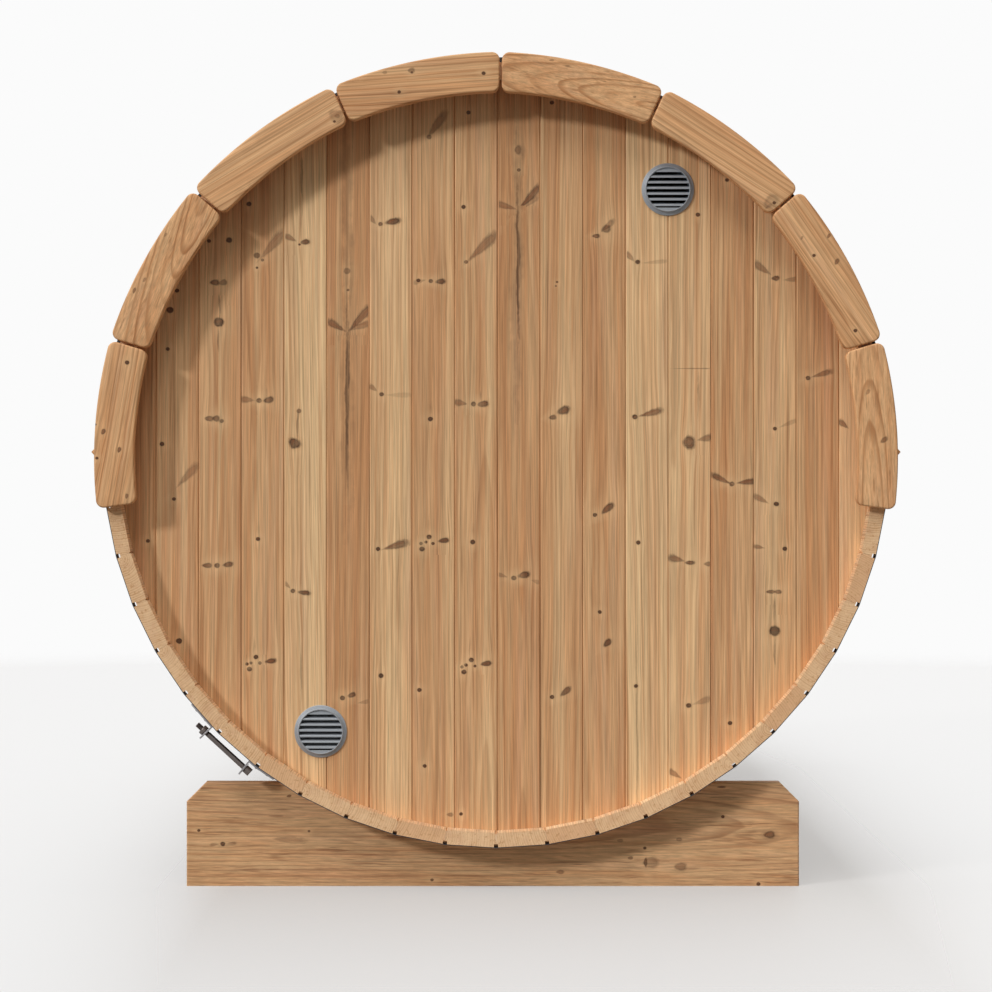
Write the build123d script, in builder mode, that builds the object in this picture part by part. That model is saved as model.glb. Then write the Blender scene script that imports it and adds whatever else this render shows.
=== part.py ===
from build123d import *

import os
from math import atan, cos, degrees, radians, sin, sqrt, tan

# Barrel sauna, millimetres. X runs across, Y along the barrel's axis, Z up from the ground.
# The vented end wall faces -Y and is called the rear. The door is in the front wall, at +Y.

# Barrel
barrel_length = 3000
stave_count = 48
stave_face_radius = 980
stave_thickness = 36
stave_gap = 0.4
notch_width = 9.5
notch_depth = 8.5
inner_vee_width = 5
inner_vee_depth = 4
first_joint_angle = 270
staves_per_group = 6

# End walls, seated in a groove cut round the inside of the staves
wall_recess = 52
wall_thickness = 28
groove_depth = 10
groove_clearance = 0.5
board_pitch = 107.6
board_gap = 0.6
board_vee = 2.5
tongue_thickness = 8
tongue_length = 7
tongue_clearance = 0.4
rear_joint_shift = 4
half_board_count = 9

# Vents in the rear wall, each placed by its angle above +X and by how far its middle lies inside the staves
vent_low_angle = 237.6
vent_low_inset = 119.5
vent_high_angle = 57.1
vent_high_inset = 147
vent_radius = 66
vent_edge_height = 3
vent_lip_height = 11
vent_lip_radius = 57
vent_mouth_radius = 54
duct_radius = 56
duct_clearance = 1
duct_tail = 12
louvre_count = 7
louvre_pitch = 14.3
louvre_depth = 8
louvre_drop = 10
louvre_thickness = 2
louvre_lip = 4.5
louvre_recess = 2

# Curved trim planks on both ends, each from one joint angle above +X to the next
trim_joint_angles = [-8.1, 16.5, 41.1, 65.2, 89.3, 113.9, 138.8, 163.3, 187.9]
trim_inner_lap = 40
trim_outer_lap = 23.5
trim_arc_flattening = 1.12
trim_thickness = 28
trim_gap = 6
trim_corner_radius = 19

# Steel bands and their tensioners
band_width = 35
band_thickness = 3
band_end_distance = 10
seat_clearance = 0.4
tensioner_angle = 227.45
lug_spacing = 126
lug_thickness = 4
lug_height = 44
lug_foot_length = 78
lug_width = 30
rod_radius = 7
rod_height = 22
rod_hole_clearance = 1
rod_upper_tail = 27
nut_width = 24
nut_length = 11
rod_head_width = 20
rod_head_length = 17
nut_seat_gap = 1.5

# Roof covering and the drip battens that it ends against
covering_thickness = 8
band_relief = 1
batten_base_width = 68
batten_height = 32
batten_rise = 7
covering_end_gap = 2

# Cradles: the wood under the barrel's lowest point, how far they rise beside it, and how far aside they stand
cradle_width = 1550
cradle_web = 108
cradle_rise = 154
cradle_shift = -8
cradle_thickness = 45
cradle_chamfer = 48
cradle_end_distance = 80
cradle_edge_chamfer = 3

# Door in the front wall
door_boards = 6
door_sill_rise = 189
door_head_drop = 159
lining_thickness = 22
lining_inner_reach = 6
casing_width = 60
casing_thickness = 16
door_clearance = 3
door_thickness = 28
ledge_width = 95
ledge_thickness = 20
ledge_inset = 220
hinge_inset = 268
hinge_strap_length = 300
hinge_strap_width = 40
hinge_strap_thickness = 4
hinge_knuckle_radius = 8
hinge_leaf_length = 48
handle_length = 320
handle_width = 34
handle_depth = 24
handle_standoff = 28
handle_edge_distance = 75
handle_edge_radius = 7

# Places that follow from the sizes above
stave_step = 360 / stave_count
group_count = stave_count // staves_per_group
stave_inner_radius = stave_face_radius - stave_thickness
notch_floor = stave_face_radius - notch_depth
half_joint = radians(stave_step / 2)
shoulder_offset = notch_floor * tan(half_joint) - stave_gap / 2 - notch_width / 2
shoulder_radius = sqrt(stave_face_radius**2 + shoulder_offset**2)
seat_flat = stave_face_radius + seat_clearance
cradle_seat_radius = shoulder_radius + seat_clearance
axis_height = cradle_web + cradle_seat_radius
cradle_height = cradle_web + cradle_rise
band_flat = seat_flat + band_thickness
half_length = barrel_length / 2
band_middle = half_length - band_end_distance - band_width / 2
wall_radius = stave_inner_radius + groove_depth - groove_clearance
wall_face = half_length - wall_recess
wall_back = wall_face - wall_thickness
trim_inner_radius = stave_inner_radius - trim_inner_lap
trim_outer_radius = stave_face_radius + trim_outer_lap
rod_axis_radius = band_flat + rod_height
lug_half_angle = degrees(atan(lug_spacing / 2 / rod_axis_radius))


def across(y):
    """The plane square to the barrel's axis at y, its origin on the axis, facing -Y."""
    return Plane(origin=(0, y, axis_height), x_dir=(1, 0, 0), z_dir=(0, -1, 0))


def around(radius, angle):
    """A point of such a plane, by its distance from the axis and its angle above +X."""
    return (radius * cos(radians(angle)), radius * sin(radians(angle)))


def finish(piece, name):
    """Label a finished piece and write it to its file."""
    piece.part.label = name
    export_step(piece.part, f"parts/{name}.step")


def stave_edge(radius):
    """Half the width of a stave at a distance from the barrel's axis."""
    return radius * tan(half_joint) - stave_gap / 2


def stave_outline():
    """Corners of a stave's end, for the stave that points along local +X."""
    vee_radius = stave_inner_radius + inner_vee_depth
    upper = [
        (stave_inner_radius, stave_edge(stave_inner_radius) - inner_vee_width / 2),
        (vee_radius, stave_edge(vee_radius)),
        (notch_floor, stave_edge(notch_floor)),
        (notch_floor, shoulder_offset),
        (stave_face_radius, shoulder_offset),
    ]
    return upper + [(x, -y) for x, y in reversed(upper)]


def faceted_ring(inner, outer):
    """Inside a sketch across the barrel: a ring with one flat to each stave, sized to its flats."""
    RegularPolygon(outer, stave_count, major_radius=False)
    RegularPolygon(inner, stave_count, major_radius=False, mode=Mode.SUBTRACT)


os.makedirs("parts", exist_ok=True)

# The two grooves that hold the end walls, as the rings of wood that they remove
with BuildPart() as wall_grooves:
    for low in (-wall_face, wall_back):
        with BuildSketch(across(low + wall_thickness + groove_clearance)):
            faceted_ring(stave_inner_radius - inner_vee_depth, stave_inner_radius + groove_depth)
        extrude(amount=wall_thickness + 2 * groove_clearance)

# Space that the covering and the battens leave for the bands
with BuildPart() as band_space:
    for end in (-1, 1):
        with BuildSketch(across(end * band_middle + band_width / 2 + band_relief)):
            faceted_ring(stave_inner_radius, band_flat + band_relief)
        extrude(amount=band_width + 2 * band_relief)

# Staves, in groups that each span an eighth of the barrel
with BuildSketch() as stave_end:
    with BuildLine():
        Polyline(*stave_outline(), close=True)
    make_face()
for group in range(group_count):
    first_stave = first_joint_angle + stave_step / 2 + group * staves_per_group * stave_step
    with BuildPart() as staves:
        with BuildSketch(across(half_length)):
            with PolarLocations(0, staves_per_group, first_stave, staves_per_group * stave_step):
                add(stave_end.sketch)
        extrude(amount=barrel_length)
        add(wall_grooves.part, mode=Mode.SUBTRACT)
    finish(staves, f"staves_{group + 1}")

# Wall boards: tongued, grooved and chamfered to a vee on the outside, and cut to the groove's outline
with BuildPart() as wall_disc:
    with BuildSketch(across(half_length)):
        RegularPolygon(wall_radius, stave_count, major_radius=False)
    extrude(amount=barrel_length)


def board_sections(first, last, shift, outer_face, inward):
    """Inside a sketch on a level plane: the sections of the boards numbered first to last.

    Board 0 starts at the middle of the wall. inward is 1 where the outside faces -Y, or -1."""
    width = board_pitch - board_gap
    middle = wall_thickness / 2
    tongue = tongue_thickness / 2
    slot = tongue + tongue_clearance
    outline = [
        (board_vee, 0),
        (width - board_vee, 0),
        (width, board_vee),
        (width, middle - tongue),
        (width + tongue_length, middle - tongue),
        (width + tongue_length, middle + tongue),
        (width, middle + tongue),
        (width, wall_thickness),
        (0, wall_thickness),
        (0, middle + slot),
        (tongue_length, middle + slot),
        (tongue_length, middle - slot),
        (0, middle - slot),
        (0, board_vee),
    ]
    for board in range(first, last + 1):
        left = shift + board * board_pitch + board_gap / 2
        with BuildLine() as board_edge:
            Polyline(*[(left + x, outer_face + inward * y) for x, y in outline], close=True)
        make_face(board_edge.edges())


vent_places = [
    around(stave_inner_radius - vent_low_inset, vent_low_angle),
    around(stave_inner_radius - vent_high_inset, vent_high_angle),
]
wall_bottom = Plane.XY.offset(axis_height - stave_face_radius)
with BuildPart() as rear_wall:
    with BuildSketch(wall_bottom):
        board_sections(-half_board_count, half_board_count - 1, rear_joint_shift, -wall_face, 1)
    extrude(amount=2 * stave_face_radius)
    add(wall_disc.part, mode=Mode.INTERSECT)
    with BuildSketch(across(0)):
        with Locations(*vent_places):
            Circle(duct_radius + duct_clearance)
    extrude(amount=barrel_length, mode=Mode.SUBTRACT)
finish(rear_wall, "rear_wall")

# Front wall: whole boards beside the door, and short ones over and under it
side_boards = half_board_count - door_boards // 2
front_boards = {
    "front_wall_left": (-half_board_count, side_boards - half_board_count - 1),
    "front_wall_right": (door_boards // 2, half_board_count - 1),
}
for name, (first, last) in front_boards.items():
    with BuildPart() as wall_side:
        with BuildSketch(wall_bottom):
            board_sections(first, last, 0, wall_face, -1)
        extrude(amount=2 * stave_face_radius)
        add(wall_disc.part, mode=Mode.INTERSECT)
    finish(wall_side, name)

door_height = 2 * stave_inner_radius - door_sill_rise - door_head_drop
frame_middle = axis_height + (door_sill_rise - door_head_drop) / 2
frame_outer_height = door_height + 2 * lining_thickness
doorway_half_width = door_boards / 2 * board_pitch
door_opening_width = 2 * (doorway_half_width - board_gap - tongue_length - lining_thickness)
with BuildPart() as wall_over_door:
    with BuildSketch(wall_bottom):
        board_sections(-door_boards // 2, door_boards // 2 - 1, 0, wall_face, -1)
    extrude(amount=2 * stave_face_radius)
    add(wall_disc.part, mode=Mode.INTERSECT)
    with BuildSketch(Plane.XZ):
        with Locations((0, frame_middle)):
            Rectangle(3 * doorway_half_width, frame_outer_height + 2 * board_gap)
    extrude(amount=-barrel_length, mode=Mode.SUBTRACT)
finish(wall_over_door, "front_wall_over_door")

# Door frame: a lining through the wall and a casing on its outside
casing_face = wall_face + casing_thickness


def door_rectangle(grow):
    """Inside a sketch on an XZ plane: the doorway, larger by grow on every side."""
    with Locations((0, frame_middle)):
        Rectangle(door_opening_width + 2 * grow, door_height + 2 * grow)


with BuildPart() as door_frame:
    with BuildSketch(Plane.XZ.offset(-casing_face)):
        door_rectangle(lining_thickness)
    extrude(amount=casing_face - wall_back + lining_inner_reach)
    with BuildSketch(Plane.XZ.offset(-casing_face)):
        door_rectangle(casing_width)
    extrude(amount=casing_thickness)
    with BuildSketch(Plane.XZ):
        door_rectangle(0)
    extrude(amount=-barrel_length, mode=Mode.SUBTRACT)
finish(door_frame, "door_frame")

# Door leaf: boards on two ledges, its outside level with the casing
leaf_width = door_opening_width - 2 * door_clearance
leaf_height = door_height - 2 * door_clearance
leaf_board_pitch = leaf_width / door_boards
leaf_back = casing_face - door_thickness
with BuildPart() as door_leaf:
    with BuildSketch(Plane.XZ.offset(-casing_face)):
        with Locations((0, frame_middle)):
            with GridLocations(leaf_board_pitch, 1, door_boards, 1):
                Rectangle(leaf_board_pitch - board_gap, leaf_height)
    extrude(amount=door_thickness)
    upright = door_leaf.edges().filter_by(Axis.Z).group_by(Axis.Y)[-1]
    chamfer(upright, board_vee)
finish(door_leaf, "door_leaf")

with BuildPart() as door_ledges:
    with BuildSketch(Plane.XZ.offset(-leaf_back)):
        with Locations((0, frame_middle)):
            with GridLocations(1, leaf_height - 2 * ledge_inset, 1, 2):
                Rectangle(leaf_width - 2 * lining_thickness, ledge_width)
    extrude(amount=ledge_thickness)
finish(door_ledges, "door_ledges")

# Strap hinges on the outside, each with its knuckle at the door's edge
knuckle_x = -door_opening_width / 2 + door_clearance / 2
knuckle_y = casing_face + hinge_knuckle_radius
with BuildPart() as door_hinges:
    with BuildSketch(Plane.XZ.offset(-casing_face - hinge_strap_thickness)):
        with Locations((0, frame_middle)):
            with GridLocations(1, leaf_height - 2 * hinge_inset, 1, 2):
                with Locations((knuckle_x + hinge_strap_length / 2, 0)):
                    Rectangle(hinge_strap_length, hinge_strap_width)
                with Locations((knuckle_x + hinge_strap_length, 0)):
                    Circle(hinge_strap_width / 2)
                with Locations((knuckle_x - hinge_leaf_length / 2, 0)):
                    Rectangle(hinge_leaf_length, 2 * hinge_strap_width)
    extrude(amount=hinge_strap_thickness)
    for side in (-1, 1):
        hinge_middle = frame_middle + side * (leaf_height / 2 - hinge_inset)
        with BuildSketch(Plane.XY.offset(hinge_middle - hinge_strap_width)):
            with Locations((knuckle_x, knuckle_y)):
                Circle(hinge_knuckle_radius)
        extrude(amount=2 * hinge_strap_width)
finish(door_hinges, "door_hinges")

# Door handle: an upright wooden bar on two posts
handle_x = leaf_width / 2 - handle_edge_distance
with BuildPart() as door_handle:
    with BuildSketch(Plane.XZ.offset(-casing_face)):
        with Locations((handle_x, frame_middle)):
            with GridLocations(1, handle_length - 2 * handle_width, 1, 2):
                Rectangle(handle_width, handle_width)
    extrude(amount=-handle_standoff)
    with BuildSketch(Plane.XZ.offset(-casing_face - handle_standoff)):
        with Locations((handle_x, frame_middle)):
            Rectangle(handle_width, handle_length)
    extrude(amount=-handle_depth)
    grip_edges = door_handle.faces().sort_by(Axis.Y)[-1].edges()
    fillet(grip_edges, handle_edge_radius)
finish(door_handle, "door_handle")

# Curved trim planks, fixed to the stave ends above the middle of the barrel
def trim_plank(first_angle, last_angle):
    """A plank's outline in a plane square to the barrel's axis, from one joint angle to the next."""
    outer_gap = degrees(trim_gap / 2 / trim_outer_radius)
    inner_gap = degrees(trim_gap / 2 / trim_inner_radius)
    outer_start = around(trim_outer_radius, first_angle + outer_gap)
    outer_end = around(trim_outer_radius, last_angle - outer_gap)
    inner_start = around(trim_inner_radius, first_angle + inner_gap)
    inner_end = around(trim_inner_radius, last_angle - inner_gap)
    with BuildSketch() as plank:
        with BuildLine():
            RadiusArc(outer_start, outer_end, -trim_outer_radius * trim_arc_flattening)
            Line(outer_end, inner_end)
            RadiusArc(inner_end, inner_start, trim_inner_radius * trim_arc_flattening)
            Line(inner_start, outer_start)
        make_face()
        fillet(plank.vertices(), radius=trim_corner_radius)
    return plank.sketch


trim_outlines = [trim_plank(*ends) for ends in zip(trim_joint_angles, trim_joint_angles[1:])]
for number, outline in enumerate(trim_outlines, 1):
    with BuildPart() as trim:
        with BuildSketch(across(-half_length)):
            add(outline)
        extrude(amount=trim_thickness)
    finish(trim, f"rear_trim_{number}")
with BuildPart() as front_trims:
    with BuildSketch(across(half_length + trim_thickness)):
        for outline in trim_outlines:
            add(outline)
    extrude(amount=trim_thickness)
finish(front_trims, "front_trims")

# Vents: a raised rim, sloping louvres and a duct through the wall
vent_outline = [
    (duct_radius, -wall_thickness - duct_tail),
    (duct_radius, 0),
    (vent_radius, 0),
    (vent_radius, vent_edge_height),
    (vent_lip_radius, vent_lip_height),
    (vent_mouth_radius, vent_lip_height),
    (vent_mouth_radius, -wall_thickness - duct_tail),
]
louvre_front = vent_lip_height - louvre_recess
louvre_outline = [
    (louvre_front, 0),
    (louvre_front, louvre_lip),
    (louvre_front - louvre_thickness, louvre_lip),
    (louvre_front - louvre_depth, louvre_drop + louvre_thickness),
    (louvre_front - louvre_depth, louvre_drop),
    (louvre_front - louvre_thickness, 0),
]
outward_section = Plane(origin=(0, 0, 0), x_dir=(0, -1, 0), z_dir=(-1, 0, 0))
with BuildPart() as louvres:
    with BuildSketch(outward_section.offset(vent_mouth_radius)):
        for row in range(louvre_count):
            foot = (row - louvre_count / 2) * louvre_pitch
            with BuildLine():
                Polyline(*[(out, foot + up) for out, up in louvre_outline], close=True)
            make_face()
    extrude(amount=-2 * vent_mouth_radius)
    with BuildSketch(Plane.XZ):
        Circle(vent_mouth_radius)
    extrude(amount=vent_lip_height, both=True, mode=Mode.INTERSECT)
with BuildPart() as vent:
    with BuildSketch(outward_section):
        with BuildLine():
            Polyline(*[(out, radius) for radius, out in vent_outline], close=True)
        make_face()
    revolve(axis=Axis.Y)
    add(louvres.part)
with BuildPart() as vents:
    with Locations(*[(x, -wall_face, axis_height + up) for x, up in vent_places]):
        add(vent.part)
finish(vents, "wall_vents")

# Steel bands round the staves
for end_name, end in (("rear", -1), ("front", 1)):
    with BuildPart() as band:
        with BuildSketch(across(end * band_middle + band_width / 2)):
            faceted_ring(seat_flat, band_flat)
        extrude(amount=band_width)
    finish(band, f"band_{end_name}")

# Band tensioners: two angle lugs on the band, and the rod that draws them together
lug_tip_radius = band_flat + lug_height
foot_sweep = degrees(lug_foot_length / band_flat)
plate_sweep = degrees(lug_thickness / lug_tip_radius)
for end_name, end in (("rear", -1), ("front", 1)):
    with BuildPart() as lugs:
        with BuildSketch(across(end * band_middle + lug_width / 2)):
            for side in (-1, 1):
                lug_angle = tensioner_angle + side * lug_half_angle
                foot_corner = around(lug_tip_radius, lug_angle + side * foot_sweep)
                with BuildLine():
                    Polyline((0, 0), around(lug_tip_radius, lug_angle), foot_corner, close=True)
                make_face()
            foot_flat = band_flat + lug_thickness
            RegularPolygon(foot_flat, stave_count, major_radius=False, mode=Mode.INTERSECT)
            for side in (-1, 1):
                lug_angle = tensioner_angle + side * lug_half_angle
                plate_corner = around(lug_tip_radius, lug_angle + side * plate_sweep)
                with BuildLine():
                    Polyline((0, 0), around(lug_tip_radius, lug_angle), plate_corner, close=True)
                make_face()
            RegularPolygon(band_flat, stave_count, major_radius=False, mode=Mode.SUBTRACT)
        extrude(amount=lug_width)
        rod_foot = Vector(*around(rod_axis_radius, tensioner_angle))
        rod_direction = Vector(*around(1, tensioner_angle + 90))
        rod_plane = Plane(
            origin=(rod_foot.X, end * band_middle, axis_height + rod_foot.Y),
            x_dir=(0, 1, 0),
            z_dir=(rod_direction.X, 0, rod_direction.Y),
        )
        with BuildSketch(rod_plane):
            Circle(rod_radius + rod_hole_clearance)
        extrude(amount=lug_spacing, both=True, mode=Mode.SUBTRACT)
    finish(lugs, f"tension_lugs_{end_name}")

    with BuildPart() as rod:
        upper_seat = lug_spacing / 2 + lug_thickness + nut_seat_gap
        with BuildSketch(rod_plane.offset(-upper_seat - rod_upper_tail)):
            Circle(rod_radius)
        extrude(amount=2 * upper_seat + rod_upper_tail)
        with BuildSketch(rod_plane.offset(-upper_seat - nut_length)):
            RegularPolygon(nut_width / 2, 6, major_radius=False)
        extrude(amount=nut_length)
        with BuildSketch(rod_plane.offset(upper_seat)):
            RegularPolygon(rod_head_width / 2, 6, major_radius=False)
        extrude(amount=rod_head_length)
    finish(rod, f"tension_rod_{end_name}")

# Drip battens along both sides, three-cornered, seated on the two staves that meet there
batten_low = batten_rise - batten_base_width / 2
batten_high = batten_rise + batten_base_width / 2
batten_corner = seat_flat / cos(half_joint)
batten_outline = [
    (batten_corner, 0),
    (batten_corner - batten_high * tan(half_joint), batten_high),
    (seat_flat + batten_height, batten_rise),
    (batten_corner + batten_low * tan(half_joint), batten_low),
]
with BuildPart() as drip_battens:
    with BuildSketch(across(half_length)):
        for side in (-1, 1):
            with BuildLine():
                Polyline(*[(side * out, up) for out, up in batten_outline], close=True)
            make_face()
    extrude(amount=barrel_length)
    add(band_space.part, mode=Mode.SUBTRACT)
finish(drip_battens, "drip_battens")

# Roof covering over the upper half, down to the battens
covering_flat = seat_flat + covering_thickness
covering_low = batten_high + covering_end_gap
with BuildPart() as roof_covering:
    with BuildSketch(across(half_length)):
        faceted_ring(seat_flat, covering_flat)
        with Locations((0, covering_low + covering_flat)):
            Rectangle(4 * covering_flat, 2 * covering_flat, mode=Mode.INTERSECT)
    extrude(amount=barrel_length)
    add(band_space.part, mode=Mode.SUBTRACT)
finish(roof_covering, "roof_covering")

# Cradles
for end_name, end in (("rear", -1), ("front", 1)):
    cradle_middle = end * (half_length - cradle_end_distance - cradle_thickness / 2)
    with BuildPart() as cradle:
        with BuildSketch(Plane.XZ.offset(-cradle_middle - cradle_thickness / 2)) as plank:
            with Locations((cradle_shift, cradle_height / 2)):
                Rectangle(cradle_width, cradle_height)
            chamfer(plank.vertices().group_by(Axis.Y)[-1], cradle_chamfer)
            with Locations((0, axis_height)):
                Circle(cradle_seat_radius, mode=Mode.SUBTRACT)
        extrude(amount=cradle_thickness)
        for broad_face in cradle.faces().filter_by(Axis.Y):
            straight = broad_face.edges().filter_by(GeomType.LINE)
            chamfer(straight - straight.group_by(Axis.Z)[0], cradle_edge_chamfer)
    finish(cradle, f"cradle_{end_name}")
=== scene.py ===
import math
import random
from collections import namedtuple

import bpy
import numpy as np
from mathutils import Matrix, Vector


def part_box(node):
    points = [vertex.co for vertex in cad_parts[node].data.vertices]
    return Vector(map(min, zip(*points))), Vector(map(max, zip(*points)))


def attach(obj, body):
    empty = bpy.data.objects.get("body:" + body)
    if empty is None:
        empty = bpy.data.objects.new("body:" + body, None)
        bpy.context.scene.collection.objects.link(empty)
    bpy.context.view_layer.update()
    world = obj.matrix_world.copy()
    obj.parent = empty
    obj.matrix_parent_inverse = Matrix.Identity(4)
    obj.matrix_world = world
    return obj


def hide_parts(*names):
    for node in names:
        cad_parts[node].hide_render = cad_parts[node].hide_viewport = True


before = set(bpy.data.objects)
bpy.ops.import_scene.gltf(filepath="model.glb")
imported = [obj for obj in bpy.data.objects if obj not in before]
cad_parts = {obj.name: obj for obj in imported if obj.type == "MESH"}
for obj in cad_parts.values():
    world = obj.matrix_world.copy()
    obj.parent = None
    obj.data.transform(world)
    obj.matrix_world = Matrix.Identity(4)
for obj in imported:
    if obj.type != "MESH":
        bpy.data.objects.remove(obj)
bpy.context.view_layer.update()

# Places and sizes of the CAD pieces, in metres. The rear wall, with the vents, faces -Y.
wall_low, wall_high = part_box("rear_wall")
_, stave_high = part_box("staves_1")
axis_height = (wall_low.z + wall_high.z) / 2
half_length = stave_high.y
wall_face = -wall_low.y
trim_thickness = 0.028
end_face = half_length + trim_thickness
stave_inner = 0.944
stave_step = math.radians(7.5)
board_pitch = 0.1076
rear_joint_shift = 0.004
board_count = 18

to_right = Vector((1, 0, 0))
to_front = Vector((0, 1, 0))
upward = Vector((0, 0, 1))

# The photograph's camera: level and square to the rear end. Its picture is as high as it is wide.
photo_width = 992
camera_distance = 6.5
camera_height = 0.987
pixel_at_ends = 0.0025
light_on_wall = 0.66

# How many marks each face of the wood may know of
mark_slots = 4


def pixel_size(y):
    """The width of the photograph's pixels at a distance along the barrel."""
    return pixel_at_ends * (camera_distance + half_length + y) / camera_distance


def tint(red, green, blue):
    """The colour of a surface that the photograph's light shows as these values, 0 to 255."""
    linear = [((value / 255 + 0.055) / 1.055) ** 2.4 for value in (red, green, blue)]
    return (*[min(0.95, value / light_on_wall) for value in linear], 1)


class Field:
    """A value that varies over a surface. Expressions on it add Math nodes."""

    def __init__(self, maker, socket):
        self.maker = maker
        self.socket = socket

    def math(self, operation, *others):
        return self.maker.math(operation, self, *others)

    def __add__(self, other):
        return self.math("ADD", other)

    def __sub__(self, other):
        return self.math("SUBTRACT", other)

    def __rsub__(self, other):
        return self.maker.math("SUBTRACT", other, self)

    def __mul__(self, other):
        return self.math("MULTIPLY", other)

    def __truediv__(self, other):
        return self.math("DIVIDE", other)

    def __rtruediv__(self, other):
        return self.maker.math("DIVIDE", other, self)

    def __neg__(self):
        return self * -1

    def __abs__(self):
        return self.math("ABSOLUTE")

    __radd__ = __add__
    __rmul__ = __mul__

    def clamp(self):
        return self.math("MAXIMUM", 0).math("MINIMUM", 1)

    def rise(self, low, high):
        """0 below low, 1 above high, smooth between; low may be the larger."""
        if low > high:
            return 1 - self.rise(high, low)
        settings = {"interpolation_type": "SMOOTHSTEP"}
        return self.maker.add("MapRange", settings, {"Value": self, "From Min": low, "From Max": high})


class Maker:
    """The nodes of one material, or of a world."""

    def __init__(self, name, kept_in=bpy.data.materials):
        self.owner = kept_in.new(name)
        self.owner.use_nodes = True
        self.tree = self.owner.node_tree
        self.tree.nodes.clear()

    def add(self, kind, settings, inputs, output=0):
        """Any node: its type, its settings, its sockets' values or links, and the output wanted."""
        node = self.tree.nodes.new("ShaderNode" + kind)
        for name, value in settings.items():
            setattr(node, name, value)
        for name, value in inputs.items():
            if isinstance(value, Field):
                self.tree.links.new(value.socket, node.inputs[name])
            else:
                node.inputs[name].default_value = value
        return Field(self, node.outputs[output]) if node.outputs else None

    def math(self, operation, *values):
        return self.add("Math", {"operation": operation}, dict(enumerate(values)))

    def split(self, vector):
        node = self.add("SeparateXYZ", {}, {0: vector}).socket.node
        return [Field(self, output) for output in node.outputs]

    def place(self):
        """Object coordinates, in metres: X, Y, Z."""
        return self.split(self.add("TexCoord", {}, {}, "Object"))

    def facing(self):
        return self.split(self.add("TexCoord", {}, {}, "Normal"))

    def attribute(self, name):
        return self.split(self.add("Attribute", {"attribute_name": name}, {}, "Vector"))

    def join(self, x, y, z):
        return self.add("CombineXYZ", {}, {0: x, 1: y, 2: z})

    def noise(self, x, y, z, detail=2, roughness=0.5):
        """Soft noise with a mean of 0, one bump to each unit of x, y and z."""
        sockets = {"Vector": self.join(x, y, z), "Scale": 1, "Detail": detail, "Roughness": roughness}
        return self.add("TexNoise", {}, sockets) - 0.5

    def figure(self, place, bumps, shift=0, **settings):
        """Noise with so many bumps to a metre, each way of place. Another shift, another pattern."""
        x, y, z = [way * count for way, count in zip(place, bumps)]
        return self.noise(x + shift if shift else x, y, z, **settings)

    def chance(self, value):
        """A random number from 0 to 1 for each value."""
        return self.add("TexWhiteNoise", {"noise_dimensions": "1D"}, {"W": value})

    def mix(self, factor, first, second, blend="MIX"):
        settings = {"data_type": "RGBA", "blend_type": blend}
        return self.add("Mix", settings, {0: factor, 6: first, 7: second}, 2)

    def shade(self, colour, factor):
        """A colour made darker or lighter by a factor."""
        return self.mix(1, colour, self.join(factor, factor, factor), "MULTIPLY")

    def bump(self, height, distance):
        return self.add("Bump", {}, {"Strength": 1, "Distance": distance, "Height": height})

    def finish(self, colour, roughness, normal=None, gloss=0.5, metallic=0):
        inputs = {"Base Color": colour, "Roughness": roughness}
        inputs |= {"Specular IOR Level": gloss, "Metallic": metallic}
        if normal is not None:
            inputs["Normal"] = normal
        surface = self.add("BsdfPrincipled", {}, inputs)
        self.add("OutputMaterial", {}, {"Surface": surface})
        return self.owner


# Woods, as the photograph's light shows them
pale_wood = tint(211, 176, 134)
brown_wood = tint(172, 127, 88)
late_wood = tint(146, 100, 64)
rosy_wood = tint(180, 140, 112)
knot_brown = tint(106, 63, 38)
knot_rim = tint(36, 19, 11)


def growth_rings(maker, grain, spacing, wobble, start):
    """Late wood, 0 to 1, where rings about a distant pith meet the surface."""
    across, deep, _ = grain
    bend = maker.figure(grain, (5, 5, 1.1), detail=1)
    ripple = maker.figure(grain, (34, 34, 6))
    radius = (across * across + deep * deep).math("SQRT") + bend * wobble + ripple * (wobble * 0.14)
    even_years = radius / spacing
    years = even_years + maker.noise(even_years * 0.45, 0.5, 0.5, detail=0) * 1.6
    season = years.math("FRACT")
    strength = 0.4 + maker.chance(years.math("FLOOR")) * 0.6
    return season.rise(start, 0.88) * season.rise(1, 0.9) * strength


def mark_in_wood(maker, slot, lengthwise, rough):
    """One mark: its cover, its stain, the pale wood round it, its tone, and its push on the grain."""
    u, v, taper = maker.attribute(f"mark_{slot}")
    aside, above, size = maker.attribute(f"mark_{slot}_from")
    strength, softness, seed = maker.attribute(f"mark_{slot}_kind")
    hard = (1 - softness * 1.25).clamp()
    sway = maker.noise(lengthwise * 16, seed * 9, 0.5) * softness.rise(0.4, 0.5) * 4
    wide = (v + sway) / (1 + taper * u)
    reach = (u * u + wide * wide).math("SQRT") + rough * (0.4 + softness)
    edge = softness * 0.6 + 0.1
    fibre = maker.noise(v * 2.6 + seed * 9, u * 0.7, seed * 5, detail=3, roughness=0.6)
    solid = 1 - (softness * 1.9).clamp() * (0.5 - fibre * 2.6).clamp() * 0.7
    cover = ((1 + edge - reach) / (edge * 2)).clamp() * (strength * 1.25).clamp() * solid
    stain = ((2 - reach) * 0.8).clamp() * strength * hard
    glow = ((5 - reach) * 0.3).clamp() * strength * hard
    circles = (reach * 3).math("FRACT") * 0.5
    knot_paleness = softness * softness.math("LESS_THAN", 0.4) * 3.4
    tone = (knot_paleness + fibre * 3.4 + circles - 0.35 - reach.rise(0.4, 0.9) * 0.8).clamp()
    spread = (aside * aside * 0.35 + above * above * 0.035) / (size * size)
    push = (-spread).math("EXPONENT") * aside * hard * strength * 0.75
    return cover, stain, glow, tone, push


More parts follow.
